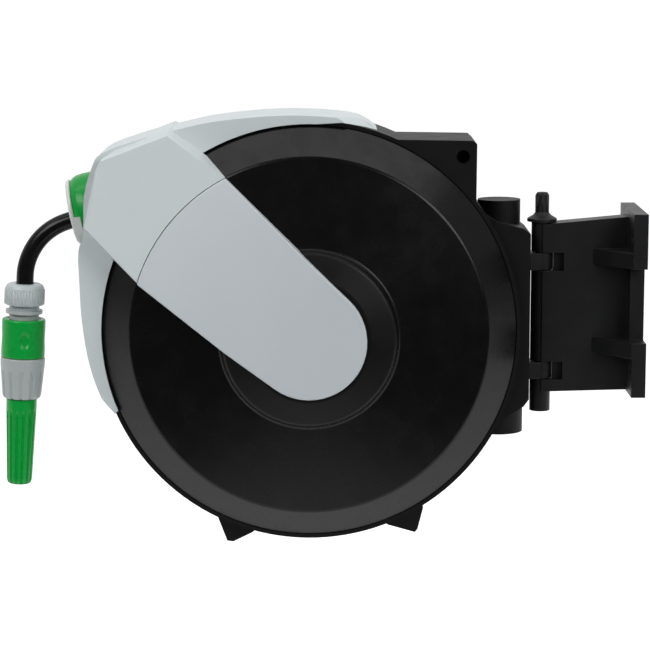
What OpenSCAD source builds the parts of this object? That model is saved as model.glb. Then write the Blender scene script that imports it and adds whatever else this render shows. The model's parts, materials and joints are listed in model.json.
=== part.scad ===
// Wall mounted hose reel that winds its hose back by a spring.
// The origin is the middle of the screw pattern on the back of the wall plate.
// The wall is the plane X = 0, the reel hangs towards -X, and its front faces -Y.

/* [Wall bracket] */
// Distance from the wall to the hinge axis
wall_to_hinge = 77; // [72:1:86]
// Height of the wall plate
plate_h = 141; // [136:1:150]
// Width of the wall plate over its ears
plate_w = 88; // [84:1:96]
// Width of the wall plate between its ears
plate_mid_w = 52; // [44:1:58]
// Thickness of the wall plate
plate_t = 11; // [9:0.5:13]
// Height of each pair of ears
ear_h = 42; // [38:1:44]
// Thickness of the web between the plate and the hinge
web_t = 19; // [16:0.5:20]
// Height of the gussets beside the web
gusset_t = 12; // [9:0.5:13]
// Reach of the gussets from the wall
gusset_reach = 39; // [32:1:44]
// Screw spacing across the wall plate
bolt_across = 66; // [60:1:68]
// Screw spacing up the wall plate
bolt_up = 104; // [98:1:108]
// Diameter of the wall screw holes
bolt_d = 6.5; // [5.5:0.1:7.5]

/* [Hinge] */
// Gap from the casing's rim to the hinge axis
rim_to_hinge = 18.5; // [17.5:0.5:24.5]
// Drop of the drum axis below the middle of the wall plate
drum_drop = 20; // [17:0.5:23]
// Diameter of the hinge pin
pin_d = 8; // [7:0.1:9]
// Running clearance around the hinge pin
pin_gap = 0.08; // [0.05:0.01:0.1]
// Outer diameter of the hinge barrel
barrel_d = 16; // [14.5:0.1:18]
// Height of each hinge lug
lug_h = 13; // [11:0.5:14]
// Clearance above and below each lug
lug_gap = 0.6; // [0.4:0.1:1]
// Height of the upper lug above the drum axis
lug_up = 50; // [46:1:52]
// Depth of the lower lug below the drum axis
lug_down = 35.5; // [33:0.5:38]
// Gap from the hinge axis to the rear wall of the reel
rear_gap = 11; // [10.6:0.1:12]

/* [Casing] */
// Outer radius of the casing
casing_r = 161.5; // [158:0.5:165]
// Half the width of the casing at its rim
casing_half = 39.5; // [37:0.5:41]
// Wall thickness of the casing and hood
wall_t = 3; // [2.6:0.1:3.4]
// Radius of the flat part of each side cover
disc_r = 135.5; // [131:0.5:138]
// Distance of the flat part's edge from the middle plane
disc_h = 62; // [61:0.5:65]
// Radius of the hub on each side cover
hub_r = 65; // [63:0.5:68]
// Height of the hub's edge above the edge of the flat part
hub_h = 18; // [17.5:0.5:20]
// Height of the hub's crown above its edge
hub_top_h = 5; // [4.5:0.5:6.5]
// Half the width of the rear tower
tower_half = 32; // [29:0.5:34]
// Radius of the boss on top of the tower
top_boss_r = 16.5; // [15:0.5:18]
// Radius of the inlet boss below the tower
inlet_boss_r = 20; // [18.5:0.5:21]

/* [Hood and arm] */
// How far the hood stands proud of the casing's rim
hood_lip = 2.5; // [2:0.1:3]
// Height of the raised head's inner edge above the edge of the flat part
head_h = 4; // [3:0.5:8]
// Backward slope of the raised head in degrees
head_slope = 6; // [3:0.5:8]
// Lean of the head's side walls in degrees
head_draft = 10; // [6:1:14]
// Radius of the round end of the arm cover
arm_r = 43.3; // [40:0.1:44]
// Height of the arm's flat end above the hub's crown
arm_h = 8; // [6:0.5:10]

/* [Hose] */
// Outer diameter of the hose
hose_d = 13.5; // [12.5:0.1:13.9]
// Turns of hose across the drum
hose_turns = 5; // [4:1:5]

/* [Drum] */
// Radius of the drum's flanges
flange_r = 128; // [126:0.5:130]
// Distance of each flange's inner face from the middle plane
flange_in = 44; // [43.5:0.1:44.5]
// Thickness of each flange
flange_t = 3; // [2.6:0.1:3.4]
// Radius of the drum's core
core_r = 52; // [49:0.5:55]
// Centre line radius of the outer layer of hose
layer_r = 112; // [108:0.5:112]
// Radius of the axle
axle_r = 9; // [8.5:0.1:9.5]
// Radius of the water passage in the axle
axle_bore_r = 5; // [4:0.1:5.5]
// Running clearance on the axle
axle_gap = 0.06; // [0.04:0.01:0.1]
// Number of ratchet teeth
ratchet_teeth = 12; // [12,24,36]
// Outer radius of the ratchet teeth
ratchet_r = 44; // [42:0.5:46]

/* [Outlet] */
// Outer radius of the outlet lip
lip_r = 25.5; // [24.5:0.1:26]
// Radius of the outlet's mouth
mouth_r = 18; // [17:0.1:18.5]
// Length of the outlet in front of its seat
outlet_len = 17; // [16:0.5:19]
// Downward tilt of the outlet in degrees
outlet_tilt = 11.3; // [10:0.1:12.5]

/* [Nozzle] */
// Lean of the hanging nozzle in degrees
nozzle_lean = 2.7; // [2:0.1:3.4]
// Radius of the hose nut
nut_r = 15.6; // [15:0.1:16.4]
// Length of the hose nut
nut_len = 16.6; // [15:0.1:18]
// Radius of the release sleeve
sleeve_r = 17; // [16.4:0.1:17.6]
// Length of the release sleeve
sleeve_len = 30.4; // [28:0.1:32]
// Travel of the release sleeve
sleeve_travel = 3.5; // [2.5:0.1:3.8]
// Length of the grey nozzle body below the sleeve
body_len = 32; // [29:0.5:35]
// Length of the nozzle tip
tip_len = 68.7; // [62:0.5:74]
// Radius of the nozzle tip at its top
tip_r = 11.9; // [11.4:0.1:12.4]
// Radius of the nozzle tip at its end
tip_end_r = 9.7; // [9:0.1:10.4]

/* [Hidden] */
$fn = 96;

// Small gap between fixed pieces and clear gap between moving ones
seat = 0.1;
clear = 0.4;

// Frame of the drum axis
hinge_to_drum = casing_r + rim_to_hinge;
drum_x = -(wall_to_hinge + hinge_to_drum);
drum_z = -drum_drop;

// Widths along the axle, measured from the middle plane
flange_out = flange_in + flange_t;
hood_half = casing_half + hood_lip;
cover_r = casing_r - wall_t - 0.03;
cover_in = casing_half - 10;
hub_edge_h = disc_h + hub_h;
crown_h = hub_edge_h + hub_top_h;
head_edge_h = disc_h + head_h;
arm_end_h = crown_h + arm_h;
dish_h = hub_edge_h - 6;
boss_h = crown_h - wall_t;
tower_x = hinge_to_drum - rear_gap;
boss_x = tower_x - 22.5;
hub_edge = hub_r + 3;

// Outline points as an angle in degrees and a height above the casing's rim
hood_rim = [[70, -1.5], [76.5, 4.7], [84, 3.4], [94, 4.2], [106, 8.6], [118, 17.8],
            [125.5, 25.8], [132.5, 36], [137, 43.6], [140, 47.4], [142.5, 45.6],
            [148.5, 38.4], [153.5, 29.6], [157.5, 25], [160.5, 24.6], [168.5, 17],
            [179.5, 11.3], [189, 8.5], [196.5, 6.3], [198.5, 5.2], [203, 0.5]];
head_rim = [[124.2, 26.3], [136.5, 40.5], [139.4, 43.5], [142.5, 42], [154.9, 27.5]];
head_start = 117.5;
head_end = 162.5;
head_flare = 1.75;
housing_rim = [[69, -4], [49.7, 30], [48.5, 30], [36.5, -4]];
left_foot = [[243, -4], [244.5, 4.5], [249, 18.5], [250.5, 17.5], [254.5, 6], [257, -4]];
right_foot = [[289, -4], [291.5, 5.5], [297, 19.5], [298, 18], [302, 5.5], [303, -4]];
foot_half = 22;
housing_hole = [49, 16];
housing_hole_r = 5;
housing_cup = 16;

// Arm cover: direction of its slope and the two ends of its seam
arm_dir = 139.4;
seam_r = disc_r + 0.5;
arm_slope = atan((arm_end_h - head_edge_h) / (seam_r - arm_r));

// Outlet frame, with its seat behind the mouth
mouth_at = [-casing_r - 22, 87.5];
outlet_dir = -(90 + outlet_tilt);
seat_at = mouth_at + outlet_len * [cos(outlet_tilt), sin(outlet_tilt)];

// Route of the free hose from inside the outlet to the nut, from the middle of the mouth
tail_points = [[14, -2.1], [6, -4.2], [-2, -6.3], [-10.9, -9.7], [-18.8, -14.5],
               [-25.6, -20.7], [-31, -28.1], [-35, -36.4], [-37.3, -45.3],
               [-38, -55.5], [-38.43, -64.7]];
tail_route = [for (p = tail_points) mouth_at + p];
nut_at = tail_route[9];
tail_end = 9.2;

// Straight run of hose from the winding to the outlet
feed_from = ring(layer_r + hose_d + 0.74, 104.36);
feed_to = tail_route[0];

// Guide rollers above and below the run of hose
run_dir = atan2(feed_from[1] - feed_to[1], feed_from[0] - feed_to[0]);
roller_at = feed_to + 25 * [cos(run_dir), sin(run_dir)];
roller_r = 4.5;
roller_pin_r = 2;
roller_half = 14;
roller_off = hose_d / 2 + clear + roller_r;

// Stations along the nozzle axis, from the top of the nut
neck_r = 11.6;
neck_end = nut_len + 11.4;
collar_at = nut_len + 3.9;
collar_t = 2.8;
collar_r = 14.4;
sleeve_at = collar_at + collar_t + sleeve_travel + 0.8;
body_at = sleeve_at + sleeve_len;
tip_at = body_at + body_len;
tip_end = tip_at + tip_len;
spigot_r = 8;
spigot_len = 18;
socket_r = 13;
stud_r = 8;
stud_len = 22;

// Feed pipe from the inlet port to the axle, in the drum frame
pipe_r = 5;
pipe_bore_r = 3.4;
port_r = 15.5;
port_bore_r = 12.06;
port_depth = 16;
port_bottom = -84;
port_top = -62;
banjo_h = boss_h - 20;
banjo_r = 16;
pass_r = disc_r + 4.4;
edge_r = flange_r + 2;
edge_h = flange_out + 7;
pipe_route = [[boss_x, 0, port_top + 3], [boss_x - 5, 14, -50],
              [pass_r * cos(18), 36, -pass_r * sin(18)],
              [edge_r * cos(17.5), edge_h, -edge_r * sin(17.5)],
              [72, edge_h, -22], [44, banjo_h - 2, -12]];
spout_root = [banjo_r - 2, banjo_h, -2];
spout_dir = (pipe_route[5] - spout_root) / norm(pipe_route[5] - spout_root);
spout_end = spout_root + 14 * spout_dir;

// Pawl on the rear side
pawl_dir = 200;
pawl_pivot_r = 66;
pawl_pin_r = 3;
pawl_h0 = flange_out + 1;
ratchet_t = 6;

function polar(p) = (casing_r + p[1]) * [cos(p[0]), sin(p[0])];
function ring(r, a) = r * [cos(a), sin(a)];
function spline(a, b, c, d, t) =
    0.5 * (2 * b + (c - a) * t + (2 * a - 5 * b + 4 * c - d) * t * t
           + (3 * b - a - 3 * c + d) * t * t * t);
function smooth(p, n) =
    [for (i = [0 : len(p) - 2], k = [0 : n - 1])
        spline(p[max(i - 1, 0)], p[i], p[i + 1], p[min(i + 2, len(p) - 1)], k / n),
     p[len(p) - 1]];
function hood_outline(inset, ends) =
    [for (q = smooth(hood_rim, 3))
        polar([136.5 + (q[0] - 136.5) * ends, q[1] - inset])];
function unit(v) = v / norm(v);
function flat(p) = [p[0], 0, p[1]];

// Solid turned about the axle; heights are towards the front
module turned(p) {
    rotate([90, 0, 0]) rotate_extrude(convexity = 8) polygon(p);
}

// Slab of an outline seen from the front, between two heights towards the front
module slab(a, b) {
    rotate([90, 0, 0]) translate([0, 0, a]) linear_extrude(b - a, convexity = 8) children();
}

module disc(r, a, b) {
    rotate([90, 0, 0]) translate([0, 0, a]) cylinder(r = r, h = b - a);
}

module drum_frame() {
    translate([drum_x, 0, drum_z]) children();
}

module to_rear() {
    mirror([0, 1, 0]) children();
}

// Round bar between two points
module rod(p, q, r) {
    d = q - p;
    translate(p) rotate([0, acos(d[2] / norm(d)), atan2(d[1], d[0])])
        cylinder(r = r, h = norm(d), $fn = 40);
}

module outlet_frame() {
    drum_frame() translate(flat(seat_at)) rotate([0, outlet_dir, 0]) children();
}

module nozzle_frame() {
    drum_frame() translate(flat(nut_at)) rotate([0, 180 + nozzle_lean, 0]) children();
}

module lathe(p) {
    rotate_extrude(convexity = 8) polygon(p);
}

module tube(r, bore, a, b) {
    translate([0, 0, a]) difference() {
        cylinder(r = r, h = b - a);
        translate([0, 0, -1]) cylinder(r = bore, h = b - a + 2);
    }
}

// Wall bracket
lug_z = [lug_up - drum_drop, -lug_down - drum_drop];
slot_h = lug_h + 2 * lug_gap;
lug_r = 8.8;
slot_back = lug_r + 0.8;
slot_reach = 16.4;
pocket_wall = 7;
web_top = plate_h / 2 - 11.5;
web_rise = 7;
web_bottom = lug_down + drum_drop + slot_h / 2 + 9.4;
barrel_bottom = -(web_bottom + 16);
pin_top = web_top + 1.6;

module plate_outline() {
    for (s = [-1, 1])
        translate([-plate_w / 2, s > 0 ? plate_h / 2 - ear_h : -plate_h / 2])
            square([plate_w, ear_h]);
    translate([-plate_mid_w / 2, -plate_h / 2]) square([plate_mid_w, plate_h]);
}

module wall_bracket() {
    color("#1b1c1c") difference() {
        union() {
            rotate([90, 0, -90]) linear_extrude(plate_t) plate_outline();
            rotate([90, 0, 0]) translate([0, 0, -web_t / 2]) linear_extrude(web_t)
                polygon([[-1, web_top + web_rise], [-wall_to_hinge, web_top],
                         [-wall_to_hinge, -web_bottom], [-1, -web_bottom + 2]]);
            translate([-wall_to_hinge, 0, barrel_bottom])
                cylinder(d = barrel_d, h = pin_top - barrel_bottom);
            for (s = [-1, 1])
                translate([0, 0, s > 0 ? plate_h / 2 - ear_h : -plate_h / 2 + ear_h - gusset_t])
                    linear_extrude(gusset_t)
                        polygon([[-1, -plate_w / 2], [-plate_t, -plate_w / 2],
                                 [-gusset_reach, -web_t / 2 + 1], [-gusset_reach, web_t / 2 - 1],
                                 [-plate_t, plate_w / 2], [-1, plate_w / 2]]);
        }
        // The web ends at the barrel's axis, so the hinge side stays round
        translate([-wall_to_hinge - web_t, -web_t, -plate_h])
            difference() {
                cube([web_t, 2 * web_t, 2 * plate_h]);
                translate([web_t, web_t, -1]) cylinder(d = barrel_d, h = 2 * plate_h + 2);
            }
        // Slots for the lugs, and a blind pocket behind each from both sides
        for (z = lug_z) translate([-wall_to_hinge, -plate_w / 2, z - slot_h / 2]) {
            translate([-barrel_d, 0, 0]) cube([barrel_d, plate_w, slot_h]);
            translate([0, plate_w / 2, 0]) cylinder(r = slot_back, h = slot_h);
            for (s = [-1, 1]) translate([-1, s * (plate_w + pocket_wall) / 2, 0])
                cube([slot_reach + 1, plate_w, slot_h]);
        }
        translate([-wall_to_hinge, 0, -plate_h])
            cylinder(d = pin_d + 2 * pin_gap, h = 2 * plate_h);
        for (y = [-1, 1], z = [-1, 1])
            translate([1, y * bolt_across / 2, z * bolt_up / 2]) rotate([0, -90, 0])
                cylinder(d = bolt_d, h = plate_t + 40);
    }
}

module hinge_pin() {
    color("#8d9194") translate([-wall_to_hinge, 0, barrel_bottom + 1])
        cylinder(d = pin_d, h = pin_top - barrel_bottom - 1);
}

module pin_knob() {
    color("#1b1c1c") translate([-wall_to_hinge, 0, pin_top])
        lathe([[0, 0], [11.5, 0], [11.5, 2.4], [7, 5], [5.4, 7], [5, 21], [4, 22.5], [0, 23]]);
}

// Casing: two halves that meet in the middle plane
tower_in = casing_r - 41.5;
tower_outline = [[tower_in, 40], [tower_in + 8, 93], [tower_in + 23, 83.5],
                 [tower_x - 6, 78.5], [tower_x, 74], [tower_x, -54], [tower_x - 4, -59.5],
                 [boss_x, -71], [tower_in + 16, -84], [tower_in, -60]];
tower_inside = [[tower_in, 40], [tower_in + 7, 87], [tower_in + 22, 80],
                [tower_x - 7, 75.5], [tower_x - wall_t, 72], [tower_x - wall_t, -52],
                [tower_x - 6, -56.5], [boss_x, -67], [tower_in + 16, -78], [tower_in, -60]];

// Screw posts inside the casing's rim, as angles
posts = [80, 218, 262, 318];
post_r = 4.5;
post_at = casing_r - wall_t - post_r + 0.5;
post_hole_r = 1.9;
post_half = cover_in - 3.5;

module posts_at() {
    for (a = posts) translate(ring(post_at, a)) children();
}

module casing_half() {
    difference() {
        union() {
            disc(casing_r, 0, casing_half);
            slab(0, casing_half) polygon([for (q = housing_rim) polar(q)]);
            slab(0, tower_half) polygon(tower_outline);
            slab(0, foot_half) polygon([for (q = left_foot) polar(q)]);
            slab(0, foot_half) polygon([for (q = right_foot) polar(q)]);
            intersection() {
                union() {
                    translate([boss_x, 0, 40]) cylinder(r = top_boss_r, h = 58);
                    translate([boss_x, 0, port_bottom])
                        cylinder(r = inlet_boss_r, h = 60);
                }
                translate([0, -60, -200]) cube([300, 60, 400]);
            }
        }
        slab(-1, tower_half - wall_t) polygon(tower_inside);
        disc(casing_r - wall_t, -1, casing_half + 1);
        difference() {
            slab(-1, casing_half - wall_t) polygon([for (q = housing_rim)
                polar([q[0] + (q[0] > 60 ? 1 : q[0] < 40 ? -1 : 0), q[1] - wall_t - 0.5])]);
            slab(casing_half - housing_cup, casing_half)
                translate(polar(housing_hole)) circle(r = housing_hole_r + wall_t);
        }
        translate([boss_x, 0, port_bottom - 1]) cylinder(r = port_r + seat, h = 60);
        translate([boss_x, 0, port_bottom - 14]) cylinder(r = port_bore_r + 0.6, h = 14);
        translate([boss_x, 0, 40]) cylinder(r = top_boss_r - wall_t, h = 58 - wall_t);
        slab(casing_half - housing_cup + wall_t, casing_half + 1)
            translate(polar(housing_hole)) circle(r = housing_hole_r);
        for (z = [lug_up, -lug_down])
            translate([tower_x - wall_t - 3, -11, z - lug_h / 2 - seat])
                cube([20, 22, lug_h + 2 * seat]);
        // Way of the hose through the rim, and of the feed pipe
        slab(-1, 20) polygon([[0, 0], polar([108, 38.5]), polar([135, 78.5]), polar([166, 38.5])]);
    }
    slab(0, post_half) difference() {
        posts_at() circle(r = post_r);
        posts_at() circle(r = post_hole_r + 0.15);
    }
}

module casing_front() {
    color("#212121") drum_frame() casing_half();
}

module casing_rear() {
    color("#212121") drum_frame() to_rear() casing_half();
}

module casing_screws() {
    color("#9a9da0") drum_frame() slab(-post_half - 2.5, -post_half) posts_at() circle(r = 3.5);
    color("#9a9da0") drum_frame() slab(-post_half, post_half - 4) posts_at()
        circle(r = post_hole_r);
}

module hinge_block() {
    color("#1b1c1c") drum_frame() difference() {
        union() {
            translate([casing_r + seat, -15, -lug_down - 10])
                cube([tower_x - wall_t - casing_r - 2 * seat, 30, lug_up + lug_down + 20]);
            for (z = [lug_up, -lug_down]) translate([0, 0, z - lug_h / 2]) linear_extrude(lug_h)
                union() {
                    translate([hinge_to_drum, 0]) circle(r = lug_r);
                    polygon([[casing_r + 1, -10.8], [tower_x + 1, -10.8], [hinge_to_drum, -8.7],
                             [hinge_to_drum, 8.7], [tower_x + 1, 10.8], [casing_r + 1, 10.8]]);
                }
        }
        translate([hinge_to_drum, 0, -100]) cylinder(d = pin_d + 2 * pin_gap, h = 200);
    }
}

// Side covers
cover_profile = [[cover_r, cover_in], [cover_r, casing_half], [disc_r, disc_h],
                 [hub_edge, dish_h], [hub_r, hub_edge_h], [46, crown_h], [0, crown_h]];
bolt_hole_r = 4.2;
boss_r = 13;
boss_in = boss_h - 6;
cover_solid = concat(cover_profile, [[0, boss_h], [44.5, boss_h], [hub_r - 2.5, hub_edge_h - wall_t],
                     [hub_edge - 2.5, dish_h - wall_t], [disc_r - 1.3, disc_h - wall_t],
                     [cover_r - wall_t, casing_half - 1.3], [cover_r - wall_t, cover_in]]);

module cover() {
    difference() {
        union() {
            turned(cover_solid);
            disc(boss_r, boss_in, boss_h + 1);
        }
        disc(axle_r, boss_in - 1, boss_h);
        disc(bolt_hole_r, boss_in - 1, crown_h + 1);
    }
}

module cover_front() {
    color("#161616") drum_frame() cover();
}

module cover_rear() {
    color("#161616") drum_frame() {
        to_rear() cover();
        rotate([90, 0, 0]) translate(concat(pawl_at, [-(pawl_seat + 4)])) difference() {
            cylinder(r = 6, h = 4 + pawl_seat - pawl_h0 - pawl_t - clear);
            translate([0, 0, 2]) cylinder(r = pawl_pin_r, h = 30);
        }
    }
}

// Cut that leans a side wall inwards from height h up, along the line from p to q
module lean(p, q, h, draft) {
    d = q - p;
    translate([p[0], p[1], h]) rotate([0, 0, atan2(d[1], d[0])])
        rotate([-draft, 0, 0]) translate([-20, -80, -1]) cube([norm(d) + 40, 80, 120]);
}

// Slanted end of the hood beside the housing
end_draft = 28;
end_depth = 16;
module end_cut(deeper) {
    rotate([90, 0, 0])
        lean(polar(hood_rim[0]), polar(hood_rim[1]), hood_half - end_depth - deeper, end_draft);
}

// Angles between which the hood's lip runs out at that end
lip_fade = 90;
lip_end = 81.2;
lip_past = 68;

// Cut that takes the thin tongue off the lip's end
module lip_cut() {
    rim_r = casing_r + 2 * seat;
    edge = [for (i = [0 : 6]) ring(rim_r, lip_end + (lip_past - lip_end) * i / 6)];
    slab(casing_half, hood_half + 1)
        polygon(concat([ring(cover_r, lip_fade)], edge,
                       [ring(disc_r, lip_past), ring(disc_r, lip_fade)]));
}

// Cut above a plane that falls away outwards along the arm
module slope_cut(r, h, slope) {
    rotate([0, 0, arm_dir]) translate([r, 0, h]) rotate([0, slope, 0])
        translate([-400, -400, 0]) cube([800, 800, 200]);
}

// Foot of the head, from one corner at the seam round to the other
function head_foot(inset) =
    let (s = ring(seam_r, head_start - head_flare + inset / 2),
         e = ring(seam_r, head_end + head_flare - inset / 2),
         rim = [for (q = head_rim)
             polar([136.5 + (q[0] - 136.5) * (1 - inset / 60), q[1] - inset])])
    concat([s + 0.15 * (s - rim[0])], rim, [e + 0.15 * (e - rim[4])]);

module head_solid(inset, top) {
    foot = head_foot(inset);
    rotate([90, 0, 0]) difference() {
        linear_extrude(top, convexity = 6) difference() {
            polygon(foot);
            circle(r = seam_r);
        }
        slope_cut(seam_r, head_edge_h - inset, head_slope);
        for (i = [0 : len(foot) - 2]) if (i != 2 && i != 3)
            lean(foot[i], foot[i + 1], hood_half, head_draft);
    }
}

// Room that the covers and the casing take inside the hood
module hood_room() {
    turned([[0, -1], [casing_r + seat, -1], [casing_r + seat, casing_half + seat],
            [cover_r + 0.4, casing_half + seat], [cover_r + 0.4, casing_half + 0.4],
            [disc_r + 0.4, disc_h + 0.4], [disc_r - 30, disc_h + 8], [0, disc_h + 8]]);
}

module hood_half_solid() {
    difference() {
        union() {
            difference() {
                slab(0, hood_half) polygon(hood_outline(0, 1));
                end_cut(0);
            }
            head_solid(0, head_edge_h + 10);
        }
        difference() {
            slab(-1, hood_half - wall_t) polygon(hood_outline(wall_t, 0.965));
            end_cut(wall_t / sin(end_draft));
        }
        difference() {
            head_solid(wall_t, head_edge_h);
            translate([-400, -20, -400]) cube([800, 420, 800]);
        }
        hood_room();
        disc(cover_r + 0.4, hood_half - wall_t - 1, hood_half + 1);
        lip_cut();
    }
}

module hood_cut() {
    translate(flat(seat_at)) rotate([0, outlet_dir, 0]) translate([0, 0, -14])
        cylinder(r = lip_r + 3.2, h = 40);
}

module hood_front() {
    color("#bcc5c6") drum_frame() difference() {
        hood_half_solid();
        hood_cut();
    }
}

module hood_rear() {
    color("#bcc5c6") drum_frame() difference() {
        to_rear() hood_half_solid();
        hood_cut();
    }
}

// Arm cover from the head to the hub
arm_seam = [ring(seam_r, head_start), ring(seam_r, head_end)];
arm_round = [for (i = [0 : 24]) ring(arm_r, -126 + 171.4 * i / 24)];

module arm() {
    difference() {
        rotate([90, 0, 0]) difference() {
            translate([0, 0, disc_h - 4]) linear_extrude(arm_end_h - disc_h + 4, convexity = 6)
                intersection() {
                    polygon(concat([1.12 * arm_seam[1] - 0.12 * arm_round[0]], arm_round,
                                   [1.12 * arm_seam[0] - 0.12 * arm_round[24]]));
                    circle(r = seam_r - 0.5);
                }
            slope_cut(seam_r, head_edge_h, arm_slope);
        }
        turned([[0, 0], [disc_r + 4, 0], [disc_r + 4, disc_h + seat], [disc_r, disc_h + seat],
                [hub_edge, dish_h + seat], [hub_r, hub_edge_h + seat], [46, crown_h + seat],
                [0, crown_h + seat]]);
        disc(9, crown_h - 1, crown_h + 5);
    }
}

module arm_front() {
    color("#b1b7ba") drum_frame() arm();
}

module arm_rear() {
    color("#b1b7ba") drum_frame() to_rear() arm();
}

// Axle, its bolts and the water way
module axle() {
    color("#9a9da0") drum_frame() difference() {
        disc(axle_r, -boss_h, boss_h);
        disc(axle_bore_r, -banjo_h - 4, 6);
        disc(bolt_hole_r - 0.2, -boss_h - 1, -boss_h + 10);
        disc(bolt_hole_r - 0.2, boss_h - 10, boss_h + 1);
        translate([0, 0, -30]) cylinder(r = 2.5, h = 60);
        translate([0, banjo_h, 0]) rotate([0, 90, 0]) cylinder(r = 2.5, h = 30);
    }
}

module axle_bolts() {
    color("#9a9da0") drum_frame() for (m = [0, 1]) mirror([0, m, 0]) {
        disc(7.5, crown_h, crown_h + 4);
        disc(bolt_hole_r - 0.2, boss_h - 9, crown_h);
    }
}

module inlet_port() {
    color("#b08d3c") drum_frame() difference() {
        translate([boss_x, 0, port_bottom]) cylinder(r = port_r, h = port_top - port_bottom);
        translate([boss_x, 0, port_bottom - 1]) cylinder(r = port_bore_r, h = port_depth + 1);
        translate([boss_x, 0, port_bottom]) cylinder(r = pipe_bore_r, h = 60);
    }
}

module feed_pipe() {
    color("#2a2a2a") drum_frame()
        sweep(concat([[boss_x, 0, port_top + 0.05]], smooth(pipe_route, 3),
                     [spout_end + 0.05 * spout_dir]), pipe_r, 12);
}

module banjo() {
    color("#b08d3c") drum_frame() difference() {
        union() {
            disc(banjo_r, -banjo_h - 8, -banjo_h + 8);
            rod(spout_root, spout_end, pipe_r);
        }
        disc(axle_r, -banjo_h - 9, -banjo_h + 9);
        disc(axle_r + 1.5, -banjo_h - 2.5, -banjo_h + 2.5);
        for (h = [-5.5, 5.5]) disc(axle_r + 1.6, -banjo_h + h - 1, -banjo_h + h + 1);
        rod(spout_root - 4.5 * spout_dir, spout_end + spout_dir, pipe_bore_r);
    }
}

module banjo_seals() {
    color("#141414") drum_frame() for (h = [-5.5, 5.5])
        translate([0, banjo_h + h, 0]) rotate([90, 0, 0]) tube(axle_r + 1.5, axle_r, -0.9, 0.9);
}

// Drum
bush_r = 14;
hub_tube_r = 18;
screw_ring_r = 34;

module drum_half() {
    difference() {
        union() {
            difference() {
                disc(core_r, 0, flange_in);
                disc(core_r - wall_t, -1, flange_in + 1);
            }
            disc(flange_r, flange_in, flange_out);
            disc(hub_tube_r, 26, flange_out);
            for (a = [45 : 90 : 315]) slab(0, flange_in + 1)
                translate(ring(screw_ring_r, a)) circle(r = 4.5);
        }
        disc(bush_r, 25, flange_out + 1);
        for (a = [45 : 90 : 315]) slab(-1, flange_out + 1)
            translate(ring(screw_ring_r, a)) circle(r = 2.2);
        cylinder(r = elbow_r + 0.2, h = core_r + 10);
    }
}

module drum_front() {
    color("#3a3d40") drum_frame() drum_half();
}

module drum_rear() {
    color("#3a3d40") drum_frame() to_rear() drum_half();
}

module drum_bushes() {
    color("#c9c6bb") drum_frame() for (m = [0, 1]) mirror([0, m, 0]) difference() {
        disc(bush_r, 30, flange_out);
        disc(axle_r + axle_gap, 29, flange_out + 1);
    }
}

module drum_screws() {
    color("#9a9da0") drum_frame() slab(-flange_in - 1, flange_out)
        for (a = [45 : 90 : 315]) translate(ring(screw_ring_r, a)) circle(r = 2.1);
}

water_hub_r = 15;
water_hub_half = 12;
elbow_r = 4.8;
elbow_end = core_r + 8;

module water_hub() {
    color("#b08d3c") drum_frame() difference() {
        disc(water_hub_r, -water_hub_half, water_hub_half);
        disc(axle_r + axle_gap, -20, 20);
        disc(axle_r + 2, -3.5, 3.5);
        for (h = [-8, 8]) disc(axle_r + 2, h - 1.2, h + 1.2);
        cylinder(r = 3, h = 30);
    }
}

module rotary_seals() {
    color("#141414") drum_frame() for (h = [-8, 8])
        translate([0, h, 0]) rotate([90, 0, 0])
            tube(axle_r + 1.95, axle_r + axle_gap, -1.15, 1.15);
}

module hose_elbow() {
    color("#b08d3c") drum_frame() difference() {
        cylinder(r = elbow_r, h = elbow_end);
        translate([0, 0, -1]) cylinder(r = 3, h = elbow_end + 2);
        disc(water_hub_r, -20, 20);
    }
}

module hose_clamp() {
    color("#9a9da0") drum_frame() tube(elbow_r + 2, elbow_r, core_r + 2, elbow_end - 2);
}

// Wound hose: inner layers as a plain core, outer layer as one winding
hose_gap = 0.5;
pitch = hose_d + hose_gap;
loop_rings = 24;
loop_sides = 6;
core_top = layer_r - hose_d / 2 - 0.3;

module hose_core() {
    color("#141414") drum_frame() difference() {
        disc(core_top, -flange_in + 0.3, flange_in - 0.3);
        disc(core_r + seat, -flange_in, flange_in);
        cylinder(r = elbow_r + 2.2, h = elbow_end + 0.5);
    }
}

function wind_angle(i) = 90 + 360 * i / loop_rings;
function wind_point(i) =
    [layer_r * cos(wind_angle(i)), (i / loop_rings - hose_turns / 2) * pitch,
     layer_r * sin(wind_angle(i))];
function wind_run(i) = unit(wind_point(i + 1) - wind_point(i - 1));
wind_last = loop_rings * hose_turns;
wind_first = wind_point(0) - hose_d * wind_run(0);
wind_final = wind_point(wind_last) + hose_d * wind_run(wind_last);
wind_path = concat([wind_first], [for (i = [0 : wind_last]) wind_point(i)], [wind_final]);
function path_run(p, i) = unit(p[min(i + 1, len(p) - 1)] - p[max(i - 1, 0)]);

// Ring of points round a path's point, square to the path
function path_ring(p, i, r, sides) =
    let (run = path_run(p, i),
         side = unit([0, 1, 0] - run[1] * run),
         up = cross(run, side))
    [for (k = [0 : sides - 1])
        p[i] + r * (cos(360 * k / sides) * side + sin(360 * k / sides) * up)];

// Unbroken tube along a path
module sweep(p, r, sides) {
    n = len(p);
    points = [for (i = [0 : n - 1]) each path_ring(p, i, r, sides)];
    walls = [for (i = [0 : n - 2], k = [0 : sides - 1])
        let (a = i * sides + k, b = i * sides + (k + 1) % sides)
        each [[a, a + sides, b], [b, a + sides, b + sides]]];
    ends = [for (k = [1 : sides - 2])
        each [[0, k, k + 1], [(n - 1) * sides, (n - 1) * sides + k + 1, (n - 1) * sides + k]]];
    polyhedron(points, concat(walls, ends));
}

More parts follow.
